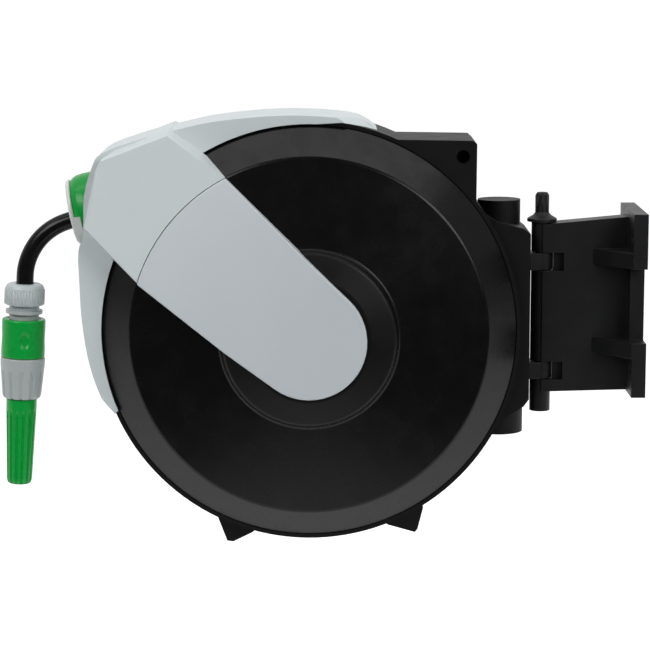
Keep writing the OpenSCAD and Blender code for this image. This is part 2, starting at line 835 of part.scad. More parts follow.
// Least gap between neighbouring turns, measured on the rings' points
wind_gaps = [for (i = [0 : wind_last - loop_rings - 1], k = [-1 : 1])
    norm(wind_path[i + 1] - wind_path[min(i + 1 + loop_rings + k, wind_last + 1)]) - hose_d];
echo(least_gap_between_turns = min(wind_gaps));

module hose_layer() {
    color("#141414") drum_frame() sweep(wind_path, hose_d / 2, loop_sides);
}

// Spring drive on the front side of the drum
cup_r = 56;
cup_t = 2;
lid_gap = 3.5;
cup_top = hub_edge_h - wall_t - lid_gap;
arbor_r = axle_r + 3;

module spring_cup() {
    color("#c0c3c5") drum_frame() difference() {
        disc(cup_r, flange_out, cup_top);
        disc(cup_r - cup_t, flange_out + cup_t, cup_top + 1);
        disc(arbor_r + 2, flange_out - 1, cup_top);
    }
}

module spring_lid() {
    color("#c0c3c5") drum_frame() difference() {
        disc(cup_r, cup_top, cup_top + 1.5);
        disc(arbor_r + 2, cup_top - 1, cup_top + 3);
    }
}

module spring_arbor() {
    color("#9a9da0") drum_frame() difference() {
        disc(arbor_r, flange_out + 0.6, boss_in);
        disc(axle_r, flange_out - 1, boss_in + 1);
    }
}

spring_turns = 7;
spring_t = 1;
spring_steps = 20;
spring_in = arbor_r + 0.6;
spring_out = cup_r - cup_t - spring_t - 0.3;

function spiral(i) = spring_in + (spring_out - spring_in) * i / (spring_turns * spring_steps);

module mainspring() {
    n = spring_turns * spring_steps;
    color("#7f868c") drum_frame() slab(flange_out + cup_t + 0.6, cup_top - 0.6)
        polygon(concat([for (i = [0 : n]) ring(spiral(i), 360 * i / spring_steps)],
                       [for (i = [n : -1 : 0])
                           ring(spiral(i) + spring_t, 360 * i / spring_steps)]));
}

// Ratchet on the rear side of the drum
module ratchet_ring() {
    color("#8d9194") drum_frame() difference() {
        disc(ratchet_r, -flange_out - ratchet_t, -flange_out);
        disc(hub_tube_r + 6, -flange_out - ratchet_t - 1, -flange_out + 1);
        slab(-flange_out - ratchet_t - 1, -flange_out + 1)
            for (i = [0 : ratchet_teeth - 1]) rotate(i * 360 / ratchet_teeth)
                polygon([[ratchet_r - 5, 1], [ratchet_r + 2, 1],
                         [ratchet_r + 2, 1.5 + 60 / ratchet_teeth],
                         [ratchet_r - 5, 1.5 + 20 / ratchet_teeth]]);
    }
}

pawl_at = ring(pawl_pivot_r, pawl_dir);
pawl_tip = ring(ratchet_r + 1, pawl_dir - 35);
pawl_t = 5;
pawl_seat = dish_h - wall_t - 2.5;

module pawl() {
    run = unit(pawl_tip - pawl_at);
    side = [run[1], -run[0]];
    color("#c9c6bb") drum_frame() slab(-pawl_h0 - pawl_t, -pawl_h0) difference() {
        union() {
            translate(pawl_at) circle(r = 6);
            polygon([pawl_at + 5 * side, pawl_tip, pawl_tip - 3.5 * side, pawl_at - 5 * side]);
        }
        translate(pawl_at) circle(r = pawl_pin_r + 0.06);
    }
}

module pawl_pin() {
    color("#8d9194") drum_frame() slab(-pawl_seat - 2, -pawl_h0) translate(pawl_at)
        circle(r = pawl_pin_r);
}

module pawl_spring() {
    color("#7f868c") drum_frame() rotate([90, 0, 0])
        translate(concat(pawl_at, [-pawl_h0 - pawl_t - clear]))
            tube(7.2, 6, -8, -1);
}

// Outlet: green bell behind a grey lip
bell_r = lip_r + 2.7;
bell_back = -10;
bell_front = outlet_len - 3.4;
bell_bore = 13;

module outlet_lower(a, b) {
    translate([-60, -60, a]) cube([58, 120, b - a]);
}

module outlet_bell() {
    color("#208c45") outlet_frame() difference() {
        lathe([[bell_bore, bell_back], [bell_r, bell_back], [bell_r, bell_front - 10],
               [bell_r - 0.7, bell_front - 5], [bell_r - 2, bell_front - 2],
               [bell_r - 4, bell_front], [mouth_r + 0.5, bell_front], [bell_bore, 2]]);
        outlet_lower(bell_front - 4.8, bell_front + 1);
    }
}

module outlet_lip() {
    color("#9da29e") outlet_frame() {
        lathe([[mouth_r + 0.5, bell_front + seat], [lip_r - 0.8, bell_front + seat],
               [lip_r, bell_front + 1], [lip_r - 0.2, outlet_len - 1], [lip_r - 1.4, outlet_len],
               [mouth_r + 2.6, outlet_len], [mouth_r + 1, outlet_len - 1]]);
        intersection() {
            tube(bell_r, mouth_r + 1, bell_front - 4.7, bell_front + 0.6);
            outlet_lower(0, 40);
        }
    }
}

// Guide rollers inside the hood
frame_y = roller_half + 0.6;
frame_t = 2.4;

module roller_place(s) {
    drum_frame() translate(flat(roller_at + s * roller_off * [-sin(run_dir), cos(run_dir)]))
        rotate([90, 0, 0]) children();
}

module roller_frame() {
    color("#212121") difference() {
        outlet_frame() union() {
            tube(bell_r - 1, bell_bore + 1, bell_back - 2.4, bell_back);
            for (s = [-1, 1])
                translate([-23, s > 0 ? frame_y : -frame_y - frame_t, bell_back - 20])
                    cube([40, frame_t, 20]);
        }
        for (s = [-1, 1]) roller_place(s) translate([0, 0, -40])
            cylinder(r = roller_pin_r, h = 80);
        outlet_frame() translate([0, 0, bell_back - 0.01]) cylinder(r = 40, h = 1);
    }
}

module roller_axles() {
    color("#9a9da0") for (s = [-1, 1]) roller_place(s)
        translate([0, 0, -frame_y - frame_t])
            cylinder(r = roller_pin_r, h = 2 * (frame_y + frame_t));
}

module roller(s) {
    roller_place(s) tube(roller_r, roller_pin_r + 0.06, -roller_half, roller_half);
}

module upper_roller() {
    color("#c9c6bb") roller(1);
}

module lower_roller() {
    color("#c9c6bb") roller(-1);
}

// Free hose and the run that feeds it
module hose_feed() {
    color("#141414") drum_frame()
        rod(flat(feed_from), flat(feed_to) - 0.1 * unit(flat(feed_to) - flat(feed_from)),
            hose_d / 2);
}

module hose_tail() {
    color("#141414") drum_frame()
        sweep([for (q = smooth(tail_route, 2)) flat(q)], hose_d / 2, 12);
}

// Nozzle set on the end of the hose
hose_room = hose_d / 2 + 0.3;

module hose_nut() {
    color("#8c9493") nozzle_frame() difference() {
        lathe([[hose_room, 0], [nut_r - 3.4, 0], [nut_r - 1.4, 1.2], [nut_r, 3.6],
               [nut_r, nut_len - 0.8], [nut_r - 0.8, nut_len], [neck_r + seat, nut_len],
               [neck_r + seat, tail_end + 0.5], [hose_room, tail_end + 0.5]]);
        for (i = [0 : 19]) rotate(i * 18) translate([nut_r + 0.5, 0, 4])
            cylinder(r = 1.2, h = nut_len, $fn = 16);
    }
}

module hose_coupling() {
    color("#868d8f") nozzle_frame() difference() {
        lathe([[3.8, tail_end + 0.6], [neck_r, tail_end + 0.6], [neck_r, collar_at],
               [collar_r, collar_at], [collar_r, collar_at + collar_t],
               [neck_r, collar_at + collar_t], [neck_r, neck_end], [spigot_r, neck_end],
               [spigot_r, neck_end + spigot_len], [3.8, neck_end + spigot_len]]);
        tube(spigot_r + 1, spigot_r - 1.5, neck_end + 8, neck_end + 10);
    }
}

module coupling_seal() {
    color("#141414") nozzle_frame()
        tube(spigot_r + 0.2, spigot_r - 1.5, neck_end + 8.05, neck_end + 9.95);
}

module nozzle_body() {
    color("#868d8f") nozzle_frame() difference() {
        lathe([[spigot_r + 0.25, neck_end + 0.2], [socket_r, neck_end + 0.2],
               [socket_r, body_at], [sleeve_r + 0.3, body_at], [sleeve_r + 0.3, body_at + 6],
               [tip_r + 2.7, tip_at], [stud_r, tip_at], [stud_r, tip_at + stud_len],
               [4, tip_at + stud_len], [4, neck_end + spigot_len + 0.3],
               [spigot_r + 0.25, neck_end + spigot_len + 0.3]]);
        for (i = [0 : 11]) rotate(i * 30) translate([tip_r + 2.9, -1.7, body_at + 10])
            cube([8, 3.4, body_len - 14]);
        tube(stud_r + 1, stud_r - 1.5, tip_at + 15, tip_at + 17);
    }
}

module tip_seal() {
    color("#141414") nozzle_frame()
        tube(stud_r, stud_r - 1.5, tip_at + 15.05, tip_at + 16.95);
}

module nozzle_stem() {
    color("#c9c6bb") nozzle_frame() difference() {
        lathe([[0, tip_at + 10], [4, tip_at + 10], [4, tip_at + 13], [1.6, tip_at + 13],
               [1.6, tip_end - 20], [2.4, tip_end - 16], [1, tip_end - 5], [0, tip_end - 5]]);
        for (i = [0 : 2]) rotate(i * 120) translate([2.8, 0, tip_at])
            cylinder(r = 0.8, h = 20);
    }
}

module release_sleeve() {
    color("#1d9243") nozzle_frame() difference() {
        lathe([[socket_r + 0.08, sleeve_at], [sleeve_r - 1, sleeve_at],
               [sleeve_r, sleeve_at + 1.2], [sleeve_r, body_at - 1.2],
               [sleeve_r - 0.6, body_at - 0.3], [socket_r + 0.08, body_at - 0.3]]);
        for (i = [0 : 3]) rotate(-10 + i * 90)
            translate([sleeve_r + 12.4, 0, sleeve_at + sleeve_len / 2]) sphere(r = 14);
    }
}

module nozzle_tip() {
    color("#0c8532") nozzle_frame() difference() {
        lathe([[stud_r + 0.08, tip_at + 0.3], [tip_r, tip_at + 0.3], [tip_r, tip_at + 7],
               [tip_end_r, tip_end - 3], [tip_end_r - 1, tip_end - 0.8],
               [tip_end_r - 3, tip_end], [3.2, tip_end], [3.2, tip_end - 14],
               [6, tip_end - 24], [stud_r + 0.08, tip_at + stud_len + 6]]);
        for (i = [0 : 11]) rotate(i * 30)
            rod([tip_r + 0.5, 0, tip_at + 8], [tip_end_r + 0.5, 0, tip_end - 3.5], 1.2);
    }
}

wall_bracket();
hinge_pin();
pin_knob();
casing_front();
casing_rear();
hinge_block();
cover_front();
cover_rear();
hood_front();
hood_rear();
arm_front();
arm_rear();
casing_screws();
axle();
axle_bolts();
inlet_port();
feed_pipe();
banjo();
banjo_seals();
drum_front();
drum_rear();
drum_bushes();
drum_screws();
water_hub();
rotary_seals();
hose_elbow();
hose_clamp();
hose_core();
hose_layer();
spring_cup();
spring_lid();
spring_arbor();
mainspring();
ratchet_ring();
pawl();
pawl_pin();
pawl_spring();
outlet_lip();
outlet_bell();
roller_frame();
roller_axles();
upper_roller();
lower_roller();
hose_feed();
hose_tail();
hose_nut();
hose_coupling();
coupling_seal();
nozzle_body();
nozzle_stem();
tip_seal();
release_sleeve();
nozzle_tip();
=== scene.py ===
"""Looks of a wall mounted hose reel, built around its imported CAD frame."""

import json
import math

import bmesh
import bpy
from mathutils import Matrix, Vector

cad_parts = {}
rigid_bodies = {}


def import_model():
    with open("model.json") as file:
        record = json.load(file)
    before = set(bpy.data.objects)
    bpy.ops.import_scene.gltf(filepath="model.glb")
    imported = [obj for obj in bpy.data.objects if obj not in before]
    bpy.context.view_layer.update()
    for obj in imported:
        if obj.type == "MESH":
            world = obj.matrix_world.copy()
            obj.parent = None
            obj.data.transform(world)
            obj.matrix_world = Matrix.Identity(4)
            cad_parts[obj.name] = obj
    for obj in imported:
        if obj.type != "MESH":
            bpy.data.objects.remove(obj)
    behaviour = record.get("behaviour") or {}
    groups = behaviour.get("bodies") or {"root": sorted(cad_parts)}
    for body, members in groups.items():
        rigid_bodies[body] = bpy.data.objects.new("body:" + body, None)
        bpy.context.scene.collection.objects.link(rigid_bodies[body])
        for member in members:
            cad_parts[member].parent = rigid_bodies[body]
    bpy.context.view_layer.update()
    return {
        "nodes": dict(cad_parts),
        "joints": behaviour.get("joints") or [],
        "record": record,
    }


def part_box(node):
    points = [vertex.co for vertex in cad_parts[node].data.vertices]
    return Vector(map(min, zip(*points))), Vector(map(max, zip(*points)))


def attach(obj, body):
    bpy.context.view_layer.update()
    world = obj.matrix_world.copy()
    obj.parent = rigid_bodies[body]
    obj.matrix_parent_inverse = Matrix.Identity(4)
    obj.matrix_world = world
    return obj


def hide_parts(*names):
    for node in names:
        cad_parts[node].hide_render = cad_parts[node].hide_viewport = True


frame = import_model()
NODES = frame["nodes"]
RECORD = frame["record"]
BODY_OF = {n: b for b, members in RECORD["behaviour"]["bodies"].items() for n in members}
SLOT_OF = {s["node"]: s["material_slot"] for s in RECORD["subparts"]}
JOINTS = {j["name"]: j for j in frame["joints"]}
DRUM_AT = Vector(JOINTS["drum_spin"]["pos_m"])
NOZZLE_DOWN = Vector(JOINTS["tip_twist"]["axis"]).normalized()

bl_info = {
    "name": "Wall Mounted Hose Reel",
    "version": (1, 0, 0),
    "blender": (4, 5, 0),
    "location": "View3D > Sidebar > Hose Reel",
    "description": "Dresses the frame of a wall mounted hose reel with its finishes and details",
    "category": "Object",
}


# Sizes and colours that a user would change

def colour(label, text, value):
    return bpy.props.FloatVectorProperty(
        name=label, description=text, subtype="COLOR", size=3, min=0.0, max=1.0, default=value)


def length(label, text, value):
    return bpy.props.FloatProperty(
        name=label, description=text, subtype="DISTANCE", unit="LENGTH", min=0.0, default=value)


def count(label, text, value):
    return bpy.props.IntProperty(name=label, description=text, min=3, max=120, default=value)


class HoseReelFinish(bpy.types.PropertyGroup):
    """Colours of the reel's mouldings"""
    hood: colour("Hood", "Light bluish grey of the hood", (0.50, 0.545, 0.555))
    # The arm's grey is a darker copy of the hood grey: painted shade for the arm's tilt away from
    # the light.
    arm: colour("Arm", "Light grey of the arm cover", (0.43, 0.465, 0.485))
    casing: colour("Casing", "Black of the casing and its side covers", (0.0016, 0.0017, 0.0016))
    bracket: colour("Bracket", "Black of the wall bracket", (0.0045, 0.0048, 0.0047))
    fitting: colour("Fittings", "Mid grey of the hose fittings", (0.33, 0.36, 0.36))
    nut: colour("Hose nut", "Pale grey of the hose nut", (0.42, 0.46, 0.465))
    lip: colour("Outlet lip", "Pale grey of the outlet lip", (0.55, 0.57, 0.555))
    green: colour("Green", "Green of the outlet, sleeve and tip", (0.002, 0.27, 0.036))
    hose: colour("Hose", "Black of the hose", (0.0025, 0.0025, 0.0025))


class HoseReelSizes(bpy.types.PropertyGroup):
    """Sizes of the rounded edges and repeated details"""
    hood_edge: length("Hood edge", "Radius of the hood's edges", 0.0035)
    arm_edge: length("Arm edge", "Radius of the arm cover's edges", 0.0014)
    casing_edge: length("Casing edge", "Radius of the casing's edges", 0.0010)
    cover_edge: length("Cover edge", "Radius of the side covers' edges", 0.0022)
    bracket_edge: length("Bracket edge", "Radius of the wall bracket's edges", 0.0011)
    small_edge: length("Small edge", "Radius of the small pieces' edges", 0.0004)
    hose_diameter: length("Hose diameter", "Outer diameter of the hose", 0.0135)
    nut_ribs: count("Nut ribs", "Ribs around the hose nut", 40)
    tip_flutes: count("Tip flutes", "Flutes around the nozzle tip", 14)
    body_flutes: count("Body flutes", "Grooves around the nozzle body", 12)
    knob_ribs: count("Knob ribs", "Ribs around the pin's knob", 8)


class HoseReelStage(bpy.types.PropertyGroup):
    """Camera and light"""
    distance: length("Camera distance", "Distance of the camera from the reel", 1.9)
    elevation: bpy.props.FloatProperty(
        name="Camera elevation", description="Angle of the camera above the horizon",
        subtype="ANGLE", unit="ROTATION", default=math.radians(9.0))
    view_width: length("View width", "Width that the picture spans at the reel", 0.507)
    look_at: bpy.props.FloatVectorProperty(
        name="Look at", description="Point in the middle of the picture", subtype="XYZ",
        unit="LENGTH", size=3, default=(-0.2451, 0.0, -0.0209))
    floor_drop: length("Floor drop", "Depth of the floor below the wall screws", 0.45)
    sky: bpy.props.FloatProperty(
        name="Sky", description="Strength of the soft light all round", min=0.0, default=0.68)
    shade: bpy.props.FloatProperty(
        name="Shade in front", description="Share of the soft light that comes from in front",
        min=0.0, max=1.0, default=0.15)
    key: bpy.props.FloatProperty(
        name="Key lamp", description="Power of the large lamp at the left", subtype="POWER",
        unit="POWER", min=0.0, default=30.0)
    fill: bpy.props.FloatProperty(
        name="Fill lamp", description="Power of the large lamp at the right", subtype="POWER",
        unit="POWER", min=0.0, default=30.0)
    strip: bpy.props.FloatProperty(
        name="Top lamp", description="Power of the narrow lamp above", subtype="POWER",
        unit="POWER", min=0.0, default=7.4)


# Materials

# Added roughness of the covers' hub, and the radii between which it ends
HUB_ROUGHER = 0.14
HUB_EDGE = (0.0655, 0.0665)


def shader(name, base, roughness, specular):
    """New material, its node tree and its surface node"""
    material = bpy.data.materials.new(name)
    material.use_nodes = True
    tree = material.node_tree
    surface = tree.nodes["Principled BSDF"]
    surface.inputs["Base Color"].default_value = (*base, 1.0)
    surface.inputs["Roughness"].default_value = roughness
    surface.inputs["Specular IOR Level"].default_value = specular
    return material, tree, surface


def noise(tree, place, scale, detail, stretch=(1.0, 1.0, 1.0)):
    """Cloudy pattern, stretched along an axis where its scale is small"""
    mapping = tree.nodes.new("ShaderNodeMapping")
    mapping.inputs["Scale"].default_value = stretch
    tree.links.new(place, mapping.inputs["Vector"])
    made = tree.nodes.new("ShaderNodeTexNoise")
    made.inputs["Scale"].default_value = scale
    made.inputs["Detail"].default_value = detail
    made.inputs["Roughness"].default_value = 0.55
    tree.links.new(mapping.outputs["Vector"], made.inputs["Vector"])
    return made.outputs["Fac"]


def spread(tree, value, low, high, start=0.3, end=0.7):
    """Value between start and end, mapped to low and high"""
    made = tree.nodes.new("ShaderNodeMapRange")
    made.inputs["From Min"].default_value = start
    made.inputs["From Max"].default_value = end
    made.inputs["To Min"].default_value = low
    made.inputs["To Max"].default_value = high
    tree.links.new(value, made.inputs["Value"])
    return made.outputs["Result"]


def tinted(tree, surface, factor, first, second):
    """Mixes the base colour from two colours"""
    made = tree.nodes.new("ShaderNodeMix")
    made.data_type = "RGBA"
    made.inputs[6].default_value = (*first, 1.0)
    made.inputs[7].default_value = (*second, 1.0)
    tree.links.new(factor, made.inputs[0])
    tree.links.new(made.outputs[2], surface.inputs["Base Color"])


def background_rays(tree):
    """One for rays that show the background: straight, mirrored or through glass"""
    path = tree.nodes.new("ShaderNodeLightPath")
    total = None
    for name in ("Is Camera Ray", "Is Glossy Ray", "Is Transmission Ray"):
        made = tree.nodes.new("ShaderNodeMath")
        made.operation = "MAXIMUM"
        tree.links.new(path.outputs[name], made.inputs[0])
        made.inputs[1].default_value = 0.0
        if total is not None:
            tree.links.new(total, made.inputs[1])
        total = made.outputs[0]
    return total


def bumped(tree, surface, height, strength, depth):
    """Gives the surface a fine relief"""
    made = tree.nodes.new("ShaderNodeBump")
    made.inputs["Strength"].default_value = strength
    made.inputs["Distance"].default_value = depth
    tree.links.new(height, made.inputs["Height"])
    tree.links.new(made.outputs["Normal"], surface.inputs["Normal"])


def moulded(name, base, roughness, specular, grain, depth, vary=0.05, coat=0.0):
    """Moulded plastic with a fine surface grain, faint flow marks and uneven gloss"""
    material, tree, surface = shader(name, base, roughness, specular)
    surface.inputs["Coat Weight"].default_value = coat
    surface.inputs["Coat Roughness"].default_value = 0.12
    place = tree.nodes.new("ShaderNodeTexCoord").outputs["Object"]
    flow = noise(tree, place, 16.0, 3.0, (1.0, 1.0, 0.4))
    fine = noise(tree, place, grain, 2.0)
    first = tuple(c * (1.0 - vary) for c in base)
    second = tuple(min(1.0, c * (1.0 + vary)) for c in base)
    tinted(tree, surface, spread(tree, flow, 0.0, 1.0), first, second)
    rub = noise(tree, place, 55.0, 4.0)
    rough = spread(tree, rub, roughness - 0.04, roughness + 0.06)
    tree.links.new(rough, surface.inputs["Roughness"])
    bumped(tree, surface, fine, 0.35, depth)
    return material


def cover_plastic(name, base, roughness, specular):
    """Moulded plastic of the side covers, with a coarser skin on the hub"""
    material = moulded(name, base, roughness, specular, 1500.0, 0.00009, 0.12)
    tree = material.node_tree
    surface = tree.nodes["Principled BSDF"]
    place = tree.nodes.new("ShaderNodeTexCoord").outputs["Object"]
    centred = tree.nodes.new("ShaderNodeVectorMath")
    centred.operation = "SUBTRACT"
    tree.links.new(place, centred.inputs[0])
    centred.inputs[1].default_value = DRUM_AT
    flat = tree.nodes.new("ShaderNodeVectorMath")
    flat.operation = "MULTIPLY"
    tree.links.new(centred.outputs[0], flat.inputs[0])
    flat.inputs[1].default_value = (1.0, 0.0, 1.0)
    away = tree.nodes.new("ShaderNodeVectorMath")
    away.operation = "LENGTH"
    tree.links.new(flat.outputs[0], away.inputs[0])
    coarse = spread(tree, away.outputs["Value"], HUB_ROUGHER, 0.0, *HUB_EDGE)
    total = tree.nodes.new("ShaderNodeMath")
    total.operation = "ADD"
    tree.links.new(surface.inputs["Roughness"].links[0].from_socket, total.inputs[0])
    tree.links.new(coarse, total.inputs[1])
    tree.links.new(total.outputs[0], surface.inputs["Roughness"])
    return material


def metal(name, base, roughness, stretch):
    """Turned or drawn metal with fine lines along one way"""
    material, tree, surface = shader(name, base, roughness, 0.5)
    surface.inputs["Metallic"].default_value = 1.0
    place = tree.nodes.new("ShaderNodeTexCoord").outputs["Object"]
    lines = noise(tree, place, 260.0, 3.0, stretch)
    stain = noise(tree, place, 35.0, 4.0)
    dark = tuple(c * 0.82 for c in base)
    tinted(tree, surface, spread(tree, stain, 0.0, 1.0), dark, base)
    rough = spread(tree, lines, roughness - 0.06, roughness + 0.10)
    tree.links.new(rough, surface.inputs["Roughness"])
    bumped(tree, surface, lines, 0.25, 0.00005)
    return material


def rubber(name, base, roughness, specular, along):
    """Extruded rubber with faint drawn lines"""
    material, tree, surface = shader(name, base, roughness, specular)
    place = tree.nodes.new("ShaderNodeTexCoord").outputs["Object"]
    lines = noise(tree, place, 420.0, 2.0, along)
    dust = noise(tree, place, 70.0, 4.0)
    pale = tuple(c * 1.5 + 0.001 for c in base)
    tinted(tree, surface, spread(tree, dust, 0.0, 1.0), base, pale)
    rough = spread(tree, dust, roughness - 0.05, roughness + 0.08)
    tree.links.new(rough, surface.inputs["Roughness"])
    bumped(tree, surface, lines, 0.2, 0.00006)
    return material


FINISHES = {}


def make_finishes(finish):
    """Makes every material of the reel"""
    FINISHES["grey_hood"] = moulded("hood grey plastic", tuple(finish.hood), 0.42, 0.4, 2600.0,
                                    0.00004, 0.012)
    # The arm is the hood's plastic; its darker grey is painted shade.
    FINISHES["grey_arm"] = moulded("arm grey plastic with painted shade", tuple(finish.arm), 0.42, 0.4, 2600.0,
                                   0.00004, 0.012)
    FINISHES["black_casing"] = moulded("casing black plastic", tuple(finish.casing), 0.52, 0.16,
                                       1500.0, 0.00009, 0.12)
    FINISHES["black_cover"] = cover_plastic("cover black plastic", tuple(finish.casing), 0.25,
                                            0.17)
    FINISHES["black_bracket"] = moulded("bracket black plastic", tuple(finish.bracket), 0.42,
                                        0.24, 1200.0, 0.00010, 0.12)
    FINISHES["grey_fitting"] = moulded("fitting grey plastic", tuple(finish.fitting), 0.36, 0.45,
                                       2200.0, 0.00005, 0.03)
    FINISHES["pale_nut"] = moulded("hose nut plastic", tuple(finish.nut), 0.36, 0.45, 2200.0,
                                   0.00005, 0.03)
    FINISHES["pale_lip"] = moulded("outlet lip plastic", tuple(finish.lip), 0.36, 0.45,
                                   2200.0, 0.00005, 0.03)
    FINISHES["green_gloss"] = moulded("green gloss plastic", tuple(finish.green), 0.27, 0.22,
                                      2000.0, 0.00003, 0.05, 0.05)
    FINISHES["black_hose"] = rubber("hose black", tuple(finish.hose), 0.20, 0.16,
                                    (1.0, 1.0, 0.08))
    FINISHES["seal_rubber"] = rubber("seal rubber", (0.006, 0.006, 0.006), 0.6, 0.3,
                                     (1.0, 1.0, 1.0))
    FINISHES["steel"] = metal("drawn steel", (0.50, 0.51, 0.52), 0.30, (1.0, 1.0, 0.05))
    FINISHES["brass"] = metal("turned brass", (0.62, 0.43, 0.14), 0.28, (1.0, 1.0, 6.0))
    FINISHES["drum_plastic"] = moulded("drum plastic", (0.035, 0.038, 0.042), 0.5, 0.3, 1400.0,
                                       0.00008, 0.08)
    FINISHES["bearing_plastic"] = moulded("bearing plastic", (0.58, 0.56, 0.50), 0.4, 0.4,
                                          1800.0, 0.00005, 0.04)


# Meshes

def new_piece(name, mesh):
    """New object in the scene for a mesh"""
    made = bpy.data.objects.new(name, mesh)
    bpy.context.scene.collection.objects.link(made)
    return made


def seat_piece(piece, node, finish, replaced=True, body=None):
    """Gives a finished piece its material and its place in the frame"""
    piece.data.materials.clear()
    piece.data.materials.append(FINISHES[finish])
    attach(piece, body or BODY_OF[node])
    if replaced:
        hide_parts(node)
    return piece


def baked(piece):
    """Turns the piece's modifiers into plain mesh"""
    depsgraph = bpy.context.evaluated_depsgraph_get()
    mesh = bpy.data.meshes.new_from_object(piece.evaluated_get(depsgraph))
    old = piece.data
    piece.modifiers.clear()
    piece.data = mesh
    bpy.data.meshes.remove(old)
    return piece


def smooth_shade(mesh, angle):
    """Smooth faces, with sharp edges above an angle in degrees"""
    mesh.polygons.foreach_set("use_smooth", [True] * len(mesh.polygons))
    mesh.set_sharp_from_angle(angle=math.radians(angle))
    mesh.update()


def rounded_copy(node, edge, segments=3, limit=32.0):
    """Merged copy of a CAD node with rounded edges"""
    mesh = bpy.data.meshes.new(node + "_dressed")
    work = bmesh.new()
    work.from_mesh(NODES[node].data)
    bmesh.ops.remove_doubles(work, verts=work.verts, dist=2e-5)
    bmesh.ops.dissolve_limit(work, angle_limit=math.radians(0.5), use_dissolve_boundaries=False,
                             verts=work.verts, edges=work.edges, delimit={"NORMAL"})
    work.to_mesh(mesh)
    work.free()
    smooth_shade(mesh, limit)
    piece = new_piece(node + "_dressed", mesh)
    bevel = piece.modifiers.new("round", "BEVEL")
    bevel.limit_method = "ANGLE"
    bevel.angle_limit = math.radians(limit)
    bevel.width = edge
    bevel.segments = segments
    bevel.use_clamp_overlap = True
    bevel.miter_outer = "MITER_ARC"
    weight = piece.modifiers.new("weight", "WEIGHTED_NORMAL")
    weight.keep_sharp = False
    baked(piece)
    return piece


def lathe_mesh(name, profile, steps, axis_frame):
    """Closed solid turned from (radius, height) points, in a local frame"""
    mesh = bpy.data.meshes.new(name)
    work = bmesh.new()
    rings = []
    for radius, height in profile:
        ring = []
        for k in range(steps):
            turn = 2 * math.pi * k / steps
            ring.append(work.verts.new((radius * math.cos(turn), radius * math.sin(turn), height)))
        rings.append(ring)
    for i in range(len(rings)):
        first = rings[i]
        second = rings[(i + 1) % len(rings)]
        for k in range(steps):
            n = (k + 1) % steps
            work.faces.new((first[k], first[n], second[n], second[k]))
    bmesh.ops.remove_doubles(work, verts=work.verts, dist=1e-6)
    bmesh.ops.recalc_face_normals(work, faces=work.faces)
    work.to_mesh(mesh)
    work.free()
    if axis_frame is not None:
        mesh.transform(axis_frame)
    return mesh


def rounded_profile(points, radius, steps=4):
    """Closed outline with each corner cut by a small arc"""
    made = []
    n = len(points)
    for i in range(n):
        here = Vector(points[i])
        back = Vector(points[i - 1]) - here
        ahead = Vector(points[(i + 1) % n]) - here
        reach = min(radius, 0.45 * back.length, 0.45 * ahead.length)
        start = here + back.normalized() * reach
        end = here + ahead.normalized() * reach
        for k in range(steps + 1):
            t = k / steps
            p = start * (1 - t) ** 2 + here * 2 * t * (1 - t) + end * t ** 2
            made.append((p.x, p.y))
    return made


def divided(profile, step):
    """Outline with points added so that no side is longer than step"""
    made = []
    for i, point in enumerate(profile):
        here = Vector(point)
        ahead = Vector(profile[(i + 1) % len(profile)])
        parts = max(1, math.ceil((ahead - here).length / step))
        for k in range(parts):
            p = here.lerp(ahead, k / parts)
            made.append((p.x, p.y))
    return made


# Geometry node trees

class NodeTree:
    """Small helper that builds a geometry node tree with named inputs"""

    def __init__(self, name):
        self.tree = bpy.data.node_groups.new(name, "GeometryNodeTree")
        self.tree.interface.new_socket("Geometry", in_out="INPUT",
                                       socket_type="NodeSocketGeometry")
        self.tree.interface.new_socket("Geometry", in_out="OUTPUT",
                                       socket_type="NodeSocketGeometry")
        self.ids = {}

    def add_input(self, name, kind):
        made = self.tree.interface.new_socket(name, in_out="INPUT", socket_type=kind)
        self.ids[name] = made.identifier

    def start(self):
        self.source = self.tree.nodes.new("NodeGroupInput")
        self.result = self.tree.nodes.new("NodeGroupOutput")

    def value(self, name):
        return self.source.outputs[name]

    def node(self, kind, links=(), **settings):
        made = self.tree.nodes.new(kind)
        for key, item in settings.items():
            setattr(made, key, item)
        for key, item in dict(links).items():
            if isinstance(item, bpy.types.NodeSocket):
                self.tree.links.new(item, made.inputs[key])
            else:
                made.inputs[key].default_value = item
        return made

    def math(self, operation, first, second=0.0):
        made = self.node("ShaderNodeMath", {0: first, 1: second}, operation=operation)
        return made.outputs[0]

    def finish(self, geometry, material):
        real = self.node("GeometryNodeRealizeInstances", {"Geometry": geometry})
        smooth = self.node("GeometryNodeSetShadeSmooth", {"Geometry": real.outputs[0]})
        paint = self.node("GeometryNodeSetMaterial",
                          {"Geometry": smooth.outputs[0], "Material": material})
        self.tree.links.new(paint.outputs[0], self.result.inputs["Geometry"])

    def apply(self, piece, values):
        modifier = piece.modifiers.new(self.tree.name, "NODES")
        modifier.node_group = self.tree
        for name, item in values.items():
            modifier[self.ids[name]] = item
        return baked(piece)


def hose_tree(material):
    """Round hose along the input's line"""
    made = NodeTree("hose along path")
    made.add_input("Radius", "NodeSocketFloat")
    made.add_input("Sides", "NodeSocketInt")
    made.start()
    line = made.node("GeometryNodeMeshToCurve", {"Mesh": made.value("Geometry")})
    ring = made.node("GeometryNodeCurvePrimitiveCircle",
                     {"Resolution": made.value("Sides"), "Radius": made.value("Radius")})
    tube = made.node("GeometryNodeCurveToMesh", {"Curve": line.outputs[0],
                                                 "Profile Curve": ring.outputs[0],
                                                 "Fill Caps": True})
    made.finish(tube.outputs[0], material)
    return made


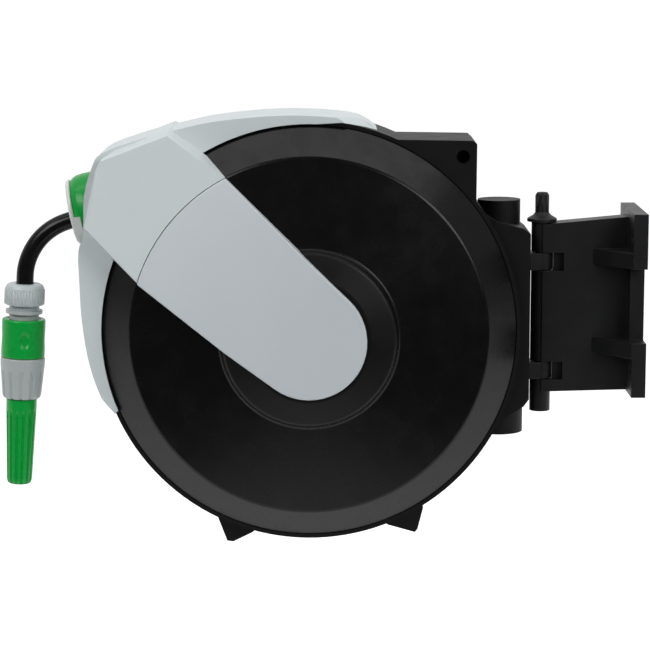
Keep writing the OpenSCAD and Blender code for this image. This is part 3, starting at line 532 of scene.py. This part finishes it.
def rib_tree(name, material):
    """Rounded ribs around the local Z axis"""
    made = NodeTree(name)
    made.add_input("Count", "NodeSocketInt")
    made.add_input("Radius", "NodeSocketFloat")
    made.add_input("Rib Radius", "NodeSocketFloat")
    made.add_input("Length", "NodeSocketFloat")
    made.add_input("Height", "NodeSocketFloat")
    made.start()
    ring = made.node("GeometryNodeMeshCircle", {"Vertices": made.value("Count"),
                                                "Radius": made.value("Radius")})
    rib = made.node("GeometryNodeMeshCylinder",
                    {"Vertices": 10, "Side Segments": 1, "Fill Segments": 1,
                     "Radius": made.value("Rib Radius"), "Depth": made.value("Length")})
    at = made.node("GeometryNodeInstanceOnPoints", {"Points": ring.outputs["Mesh"],
                                                    "Instance": rib.outputs["Mesh"]})
    lift = made.node("ShaderNodeCombineXYZ", {"Z": made.value("Height")})
    moved = made.node("GeometryNodeTranslateInstances", {"Instances": at.outputs[0],
                                                         "Translation": lift.outputs[0],
                                                         "Local Space": False})
    made.finish(moved.outputs[0], material)
    return made


def flute_tree(name, material):
    """Grooves pressed into the outside of a turned piece, along the local Z axis"""
    made = NodeTree(name)
    for label in ("Depth", "Width", "Start", "End", "Fade", "Inner Radius", "Turn"):
        made.add_input(label, "NodeSocketFloat")
    made.add_input("Count", "NodeSocketInt")
    made.start()
    place = made.node("GeometryNodeInputPosition")
    parts = made.node("ShaderNodeSeparateXYZ", {"Vector": place.outputs[0]})
    x, y, z = parts.outputs[0], parts.outputs[1], parts.outputs[2]
    turn = made.math("ADD", made.math("ARCTAN2", y, x), made.value("Turn"))
    wave = made.math("COSINE", made.math("MULTIPLY", turn, made.value("Count")))
    low = made.math("SUBTRACT", 1.0, made.value("Width"))
    groove = made.node("ShaderNodeMapRange", {"Value": wave, "From Min": low, "From Max": 1.0},
                       interpolation_type="SMOOTHSTEP")
    begin = made.node("ShaderNodeMapRange",
                      {"Value": z, "From Min": made.value("Start"),
                       "From Max": made.math("ADD", made.value("Start"), made.value("Fade"))},
                      interpolation_type="SMOOTHSTEP")
    stop = made.node("ShaderNodeMapRange",
                     {"Value": z, "From Min": made.math("SUBTRACT", made.value("End"),
                                                        made.value("Fade")),
                      "From Max": made.value("End"), "To Min": 1.0, "To Max": 0.0},
                     interpolation_type="SMOOTHSTEP")
    flat = made.node("ShaderNodeCombineXYZ", {"X": x, "Y": y})
    size = made.node("ShaderNodeVectorMath", {0: flat.outputs[0]}, operation="LENGTH")
    outer = made.math("GREATER_THAN", size.outputs["Value"], made.value("Inner Radius"))
    amount = made.math("MULTIPLY", groove.outputs[0], begin.outputs[0])
    amount = made.math("MULTIPLY", amount, stop.outputs[0])
    amount = made.math("MULTIPLY", amount, outer)
    amount = made.math("MULTIPLY", amount, made.value("Depth"))
    way = made.node("ShaderNodeVectorMath", {0: flat.outputs[0]}, operation="NORMALIZE")
    push = made.node("ShaderNodeVectorMath", {0: way.outputs[0],
                                              "Scale": made.math("MULTIPLY", amount, -1.0)},
                     operation="SCALE")
    moved = made.node("GeometryNodeSetPosition", {"Geometry": made.value("Geometry"),
                                                  "Offset": push.outputs[0]})
    made.finish(moved.outputs[0], material)
    return made


# Route of the free hose, from inside the outlet to inside the nut, in the drum's frame
HOSE_ROUTE = [(-0.1695, 0.0854), (-0.1775, 0.0833), (-0.1855, 0.0812), (-0.1944, 0.0778),
              (-0.2023, 0.0730), (-0.2091, 0.0668), (-0.2145, 0.0594), (-0.2185, 0.0511),
              (-0.2208, 0.0422), (-0.2215, 0.032), (-0.22193, 0.0228)]

# Top of the hose nut on that route
NUT_TOP = HOSE_ROUTE[-2]


# Frame of the nozzle

def nozzle_matrix():
    """Local frame of the nozzle: Z runs down from the top of the nut"""
    top = DRUM_AT + Vector((NUT_TOP[0], 0.0, NUT_TOP[1]))
    side = Vector((0.0, 1.0, 0.0))
    across = side.cross(NOZZLE_DOWN)
    turn = Matrix((across, side, NOZZLE_DOWN)).transposed().to_4x4()
    return Matrix.Translation(top) @ turn


NOZZLE = nozzle_matrix()

# Lengths along the nozzle, from the top of the nut
NUT_LENGTH = 0.0166
SLEEVE_AT = 0.0276
BODY_AT = 0.0580
TIP_AT = 0.0900
TIP_END = 0.1587

# Finger dents of the release sleeve
DENT_STEP = 90.0
DENT_TURN = 10.0
DENT_AT = 0.04304
DENT_HALF_WIDTH = 0.0044
DENT_HALF_LENGTH = 0.0072
DENT_DEPTH = 0.0017
DENT_FLANK = 1.6
SLEEVE_SKIN = 0.0150

# Depth of the middle of the knob's ribs below its top
KNOB_RIB_DROP = 0.0100

def smooth_route(points, n):
    """Points of a smooth curve through the route"""
    made = []
    last = len(points) - 1
    for i in range(last):
        a = Vector(points[max(i - 1, 0)])
        b = Vector(points[i])
        c = Vector(points[i + 1])
        d = Vector(points[min(i + 2, last)])
        for k in range(n):
            t = k / n
            p = 0.5 * (2 * b + (c - a) * t + (2 * a - 5 * b + 4 * c - d) * t ** 2
                       + (3 * b - a - 3 * c + d) * t ** 3)
            made.append(p)
    made.append(Vector(points[last]))
    return [DRUM_AT + Vector((p.x, 0.0, p.y)) for p in made]


# Places and sizes on the stage
SENSOR_WIDTH = 36.0
KEY_AT = (-1.6, -1.5, 1.3)
FILL_AT = (1.2, -1.6, 1.0)
STRIP_AT = (-0.25, -0.20, 1.25)
LARGE_LAMP = (1.3, 1.0)
NARROW_LAMP = (2.6, 0.35)
FLOOR_HALF = 40.0
FLOOR_NEAR = -0.6
FLOOR_GLOW = 0.60

# Way to the dimmer part of the soft light, and how far round it fades
SHADE_WAY = (0.0, -0.985, -0.17)
SHADE_FADE = (-0.35, 0.25)


# Operators

class REEL_OT_stage(bpy.types.Operator):
    """Makes the camera, the floor and the soft light"""
    bl_idname = "reel.stage"
    bl_label = "Stage"

    def execute(self, context):
        stage = context.scene.hose_reel_stage
        context.scene.view_settings.view_transform = "Standard"
        look = Vector(stage.look_at)
        back = Vector((0.0, -math.cos(stage.elevation), math.sin(stage.elevation)))
        camera = bpy.data.objects.new("camera", bpy.data.cameras.new("camera"))
        camera.data.sensor_width = SENSOR_WIDTH
        camera.data.lens = SENSOR_WIDTH * stage.distance / stage.view_width
        camera.location = look + back * stage.distance
        camera.rotation_mode = "QUATERNION"
        camera.rotation_quaternion = (-back).to_track_quat("-Z", "Y")
        context.scene.collection.objects.link(camera)
        context.scene.camera = camera
        self.make_floor(stage)
        self.make_world(context, stage)
        self.make_lamp(context, "key", KEY_AT, look, LARGE_LAMP, stage.key)
        self.make_lamp(context, "fill", FILL_AT, look, LARGE_LAMP, stage.fill)
        self.make_lamp(context, "top_strip", STRIP_AT, look, NARROW_LAMP, stage.strip)
        return {"FINISHED"}

    def make_floor(self, stage):
        """Pale floor that glows only for rays that show the background"""
        mesh = bpy.data.meshes.new("floor")
        half = FLOOR_HALF
        drop = -stage.floor_drop
        mesh.from_pydata([(-half, FLOOR_NEAR, drop), (half, FLOOR_NEAR, drop), (half, half, drop),
                          (-half, half, drop)], [], [(0, 1, 2, 3)])
        floor = new_piece("floor", mesh)
        material, tree, surface = shader("pale floor", (0.93, 0.93, 0.93), 0.9, 0.1)
        place = tree.nodes.new("ShaderNodeTexCoord").outputs["Object"]
        cloud = noise(tree, place, 3.0, 2.0)
        tinted(tree, surface, spread(tree, cloud, 0.0, 1.0), (0.925,) * 3, (0.94,) * 3)
        seen = background_rays(tree)
        surface.inputs["Emission Color"].default_value = (1.0, 1.0, 1.0, 1.0)
        glow = spread(tree, seen, 0.0, FLOOR_GLOW, 0.0, 1.0)
        tree.links.new(glow, surface.inputs["Emission Strength"])
        floor.data.materials.append(material)

    def make_world(self, context, stage):
        """White background, and soft light that is dimmer in front"""
        world = bpy.data.worlds.new("soft light")
        context.scene.world = world
        world.use_nodes = True
        tree = world.node_tree
        ground = tree.nodes["Background"]
        place = tree.nodes.new("ShaderNodeTexCoord").outputs["Generated"]
        parts = tree.nodes.new("ShaderNodeSeparateXYZ")
        tree.links.new(place, parts.inputs[0])
        rise = spread(tree, parts.outputs[2], 0.9 * stage.sky, 1.1 * stage.sky, -0.1, 1.0)
        mirrored = tree.nodes.new("ShaderNodeMix")
        tree.links.new(background_rays(tree), mirrored.inputs[0])
        tree.links.new(rise, mirrored.inputs[2])
        mirrored.inputs[3].default_value = 1.0
        toward = tree.nodes.new("ShaderNodeVectorMath")
        toward.operation = "DOT_PRODUCT"
        tree.links.new(place, toward.inputs[0])
        toward.inputs[1].default_value = SHADE_WAY
        shade = spread(tree, toward.outputs["Value"], 1.0, stage.shade, *SHADE_FADE)
        dim = tree.nodes.new("ShaderNodeMath")
        dim.operation = "MULTIPLY"
        tree.links.new(mirrored.outputs[0], dim.inputs[0])
        tree.links.new(shade, dim.inputs[1])
        white = tree.nodes.new("ShaderNodeMix")
        seen = tree.nodes.new("ShaderNodeLightPath").outputs["Is Camera Ray"]
        tree.links.new(seen, white.inputs[0])
        tree.links.new(dim.outputs[0], white.inputs[2])
        white.inputs[3].default_value = 1.0
        tree.links.new(white.outputs[0], ground.inputs["Strength"])
        ground.inputs["Color"].default_value = (1.0, 1.0, 1.0, 1.0)

    def make_lamp(self, context, name, at, look, size, power):
        """Flat lamp that faces the middle of the picture"""
        data = bpy.data.lights.new(name, "AREA")
        data.shape = "RECTANGLE"
        data.size = size[0]
        data.size_y = size[1]
        data.energy = power
        lamp = bpy.data.objects.new(name, data)
        lamp.location = at
        lamp.rotation_mode = "QUATERNION"
        lamp.rotation_quaternion = (look - Vector(at)).to_track_quat("-Z", "Y")
        context.scene.collection.objects.link(lamp)


class REEL_OT_finishes(bpy.types.Operator):
    """Makes the materials and paints every CAD node with its own"""
    bl_idname = "reel.finishes"
    bl_label = "Finishes"

    def execute(self, context):
        make_finishes(context.scene.hose_reel_finish)
        for name, node in NODES.items():
            node.data.materials.clear()
            node.data.materials.append(FINISHES[SLOT_OF[name]])
        return {"FINISHED"}


class REEL_OT_nozzle(bpy.types.Operator):
    """Makes the hose nut, coupling, sleeve, nozzle body and tip"""
    bl_idname = "reel.nozzle"
    bl_label = "Nozzle"

    def execute(self, context):
        sizes = context.scene.hose_reel_sizes
        self.make_nut(sizes)
        self.make_sleeve()
        self.make_body(sizes)
        self.make_tip(sizes)
        coupling = rounded_copy("hose_coupling", sizes.small_edge)
        seat_piece(coupling, "hose_coupling", "grey_fitting")
        return {"FINISHED"}

    def make_nut(self, sizes):
        room = 0.5 * sizes.hose_diameter + 0.0003
        outline = [(room, 0.0), (0.0122, 0.0), (0.0142, 0.0012), (0.0152, 0.0036),
                   (0.0152, 0.0156), (0.0146, NUT_LENGTH), (0.0117, NUT_LENGTH),
                   (0.0117, 0.0097), (room, 0.0097)]
        mesh = lathe_mesh("hose_nut_dressed", rounded_profile(outline, 0.0007), 96, NOZZLE)
        smooth_shade(mesh, 40.0)
        seat_piece(new_piece("hose_nut_dressed", mesh), "hose_nut", "pale_nut")
        ribs = new_piece("hose_nut_ribs", bpy.data.meshes.new("hose_nut_ribs"))
        tree = rib_tree("nut ribs", FINISHES["pale_nut"])
        tree.apply(ribs, {"Count": sizes.nut_ribs, "Radius": 0.01505, "Rib Radius": 0.00062,
                          "Length": 0.0115, "Height": 0.0101})
        ribs.data.transform(NOZZLE)
        seat_piece(ribs, "hose_nut", "pale_nut", replaced=False)

    def make_sleeve(self):
        top, end = SLEEVE_AT, BODY_AT - 0.0003
        outline = [(0.01308, top), (0.0163, top), (0.0169, top + 0.0010), (0.0170, end - 0.0012),
                   (0.0166, end), (0.01308, end)]
        profile = divided(rounded_profile(outline, 0.0006), 0.0006)
        mesh = lathe_mesh("release_sleeve_dressed", profile, 240, None)
        for vertex in mesh.vertices:
            x, y, z = vertex.co
            radius = math.hypot(x, y)
            if radius < SLEEVE_SKIN:
                continue
            turn = math.degrees(math.atan2(y, x))
            aside = (turn + DENT_TURN + 0.5 * DENT_STEP) % DENT_STEP - 0.5 * DENT_STEP
            u = math.radians(aside) * radius / DENT_HALF_WIDTH
            v = (z - DENT_AT) / DENT_HALF_LENGTH
            dent = max(0.0, 1.0 - u * u - v * v)
            deep = DENT_DEPTH * min(1.0, DENT_FLANK * dent)
            vertex.co.x = x * (radius - deep) / radius
            vertex.co.y = y * (radius - deep) / radius
        mesh.transform(NOZZLE)
        smooth_shade(mesh, 40.0)
        seat_piece(new_piece("release_sleeve_dressed", mesh), "release_sleeve", "green_gloss")

    def make_body(self, sizes):
        top, end = BODY_AT, TIP_AT
        outline = [(0.0083, 0.0282), (0.0130, 0.0282), (0.0130, top), (0.0170, top),
                   (0.01735, top + 0.0008), (0.0172, top + 0.007), (0.0152, end - 0.0022),
                   (0.0142, end), (0.0080, end), (0.0080, end + 0.0220), (0.0040, end + 0.0220),
                   (0.0040, 0.0463), (0.0083, 0.0463)]
        profile = divided(rounded_profile(outline, 0.0006), 0.0007)
        mesh = lathe_mesh("nozzle_body_dressed", profile, 240, None)
        body = new_piece("nozzle_body_dressed", mesh)
        tree = flute_tree("body grooves", FINISHES["grey_fitting"])
        tree.apply(body, {"Count": sizes.body_flutes, "Depth": 0.0011, "Width": 0.75,
                          "Start": top + 0.0085, "End": end + 0.004, "Fade": 0.0025,
                          "Inner Radius": 0.0137, "Turn": math.radians(4.0)})
        body.data.transform(NOZZLE)
        smooth_shade(body.data, 45.0)
        seat_piece(body, "nozzle_body", "grey_fitting")

    def make_tip(self, sizes):
        top, end = TIP_AT + 0.0003, TIP_END
        outline = [(0.00808, top), (0.0119, top), (0.0119, top + 0.007), (0.0099, end - 0.004),
                   (0.0094, end - 0.0012), (0.0082, end), (0.0032, end), (0.0032, end - 0.014),
                   (0.0060, end - 0.024), (0.00808, TIP_AT + 0.028)]
        profile = divided(rounded_profile(outline, 0.0008), 0.0008)
        mesh = lathe_mesh("nozzle_tip_dressed", profile, 280, None)
        tip = new_piece("nozzle_tip_dressed", mesh)
        tree = flute_tree("tip flutes", FINISHES["green_gloss"])
        tree.apply(tip, {"Count": sizes.tip_flutes, "Depth": 0.0010, "Width": 0.9,
                         "Start": top + 0.0075, "End": end + 0.004, "Fade": 0.006,
                         "Inner Radius": 0.0086, "Turn": math.radians(3.0)})
        tip.data.transform(NOZZLE)
        smooth_shade(tip.data, 45.0)
        seat_piece(tip, "nozzle_tip", "green_gloss")


class REEL_OT_hose(bpy.types.Operator):
    bl_idname = "reel.hose"
    bl_label = "Free hose"

    def execute(self, context):
        sizes = context.scene.hose_reel_sizes
        path = smooth_route(HOSE_ROUTE, 6)
        mesh = bpy.data.meshes.new("hose_tail_dressed")
        mesh.from_pydata(path, [(i, i + 1) for i in range(len(path) - 1)], [])
        hose = new_piece("hose_tail_dressed", mesh)
        tree = hose_tree(FINISHES["black_hose"])
        tree.apply(hose, {"Radius": 0.5 * sizes.hose_diameter, "Sides": 40})
        smooth_shade(hose.data, 60.0)
        seat_piece(hose, "hose_tail", "black_hose")
        return {"FINISHED"}


class REEL_OT_casing(bpy.types.Operator):
    """Dresses the casing halves, side covers and hinge block"""
    bl_idname = "reel.casing"
    bl_label = "Casing"

    def execute(self, context):
        sizes = context.scene.hose_reel_sizes
        for node in ("casing_front", "casing_rear"):
            seat_piece(rounded_copy(node, sizes.casing_edge), node, "black_casing")
        for node in ("cover_front", "cover_rear"):
            seat_piece(rounded_copy(node, sizes.cover_edge, 4, 12.0), node, "black_cover")
        seat_piece(rounded_copy("hinge_block", sizes.small_edge), "hinge_block", "black_bracket")
        return {"FINISHED"}


class REEL_OT_hood(bpy.types.Operator):
    """Dresses the hood halves and the arm covers"""
    bl_idname = "reel.hood"
    bl_label = "Hood and arms"

    def execute(self, context):
        sizes = context.scene.hose_reel_sizes
        for node in ("hood_front", "hood_rear"):
            seat_piece(rounded_copy(node, sizes.hood_edge, 4), node, "grey_hood")
        for node in ("arm_front", "arm_rear"):
            seat_piece(rounded_copy(node, sizes.arm_edge, 4), node, "grey_arm")
        return {"FINISHED"}


class REEL_OT_outlet(bpy.types.Operator):
    """Dresses the outlet's bell and lip"""
    bl_idname = "reel.outlet"
    bl_label = "Outlet"

    def execute(self, context):
        sizes = context.scene.hose_reel_sizes
        seat_piece(rounded_copy("outlet_bell", sizes.small_edge), "outlet_bell", "green_gloss")
        seat_piece(rounded_copy("outlet_lip", sizes.small_edge), "outlet_lip", "pale_lip")
        return {"FINISHED"}


class REEL_OT_bracket(bpy.types.Operator):
    """Dresses the wall bracket, the hinge pin and its knob"""
    bl_idname = "reel.bracket"
    bl_label = "Bracket"

    def execute(self, context):
        sizes = context.scene.hose_reel_sizes
        seat_piece(rounded_copy("wall_bracket", sizes.bracket_edge), "wall_bracket",
                   "black_bracket")
        seat_piece(rounded_copy("hinge_pin", sizes.small_edge), "hinge_pin", "steel")
        seat_piece(rounded_copy("pin_knob", sizes.small_edge), "pin_knob", "black_bracket")
        low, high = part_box("pin_knob")
        ribs = new_piece("pin_knob_ribs", bpy.data.meshes.new("pin_knob_ribs"))
        tree = rib_tree("knob ribs", FINISHES["black_bracket"])
        tree.apply(ribs, {"Count": sizes.knob_ribs, "Radius": 0.0047, "Rib Radius": 0.0007,
                          "Length": 0.0150, "Height": 0.0})
        middle = 0.5 * (low + high)
        ribs.data.transform(Matrix.Translation((middle.x, middle.y, high.z - KNOB_RIB_DROP)))
        seat_piece(ribs, "pin_knob", "black_bracket", replaced=False)
        return {"FINISHED"}


class REEL_PT_panel(bpy.types.Panel):
    """Lists the reel's operators and sizes"""
    bl_idname = "REEL_PT_panel"
    bl_label = "Hose Reel"
    bl_space_type = "VIEW_3D"
    bl_region_type = "UI"
    bl_category = "Hose Reel"

    def draw(self, context):
        layout = self.layout
        for group in ("hose_reel_finish", "hose_reel_sizes", "hose_reel_stage"):
            box = layout.box()
            settings = getattr(context.scene, group)
            for name in settings.__annotations__:
                box.prop(settings, name)
        for operator in OPERATORS:
            layout.operator(operator.bl_idname)


GROUPS = (HoseReelFinish, HoseReelSizes, HoseReelStage)
OPERATORS = (REEL_OT_stage, REEL_OT_finishes, REEL_OT_nozzle, REEL_OT_hose, REEL_OT_casing,
             REEL_OT_hood, REEL_OT_outlet, REEL_OT_bracket)


def register():
    for item in (*GROUPS, *OPERATORS, REEL_PT_panel):
        bpy.utils.register_class(item)
    bpy.types.Scene.hose_reel_finish = bpy.props.PointerProperty(type=HoseReelFinish)
    bpy.types.Scene.hose_reel_sizes = bpy.props.PointerProperty(type=HoseReelSizes)
    bpy.types.Scene.hose_reel_stage = bpy.props.PointerProperty(type=HoseReelStage)


def unregister():
    del bpy.types.Scene.hose_reel_stage
    del bpy.types.Scene.hose_reel_sizes
    del bpy.types.Scene.hose_reel_finish
    for item in reversed((*GROUPS, *OPERATORS, REEL_PT_panel)):
        bpy.utils.unregister_class(item)


def main():
    register()
    bpy.ops.reel.stage()
    bpy.ops.reel.finishes()
    bpy.ops.reel.nozzle()
    bpy.ops.reel.hose()
    bpy.ops.reel.casing()
    bpy.ops.reel.hood()
    bpy.ops.reel.outlet()
    bpy.ops.reel.bracket()


if __name__ == "__main__":
    main()
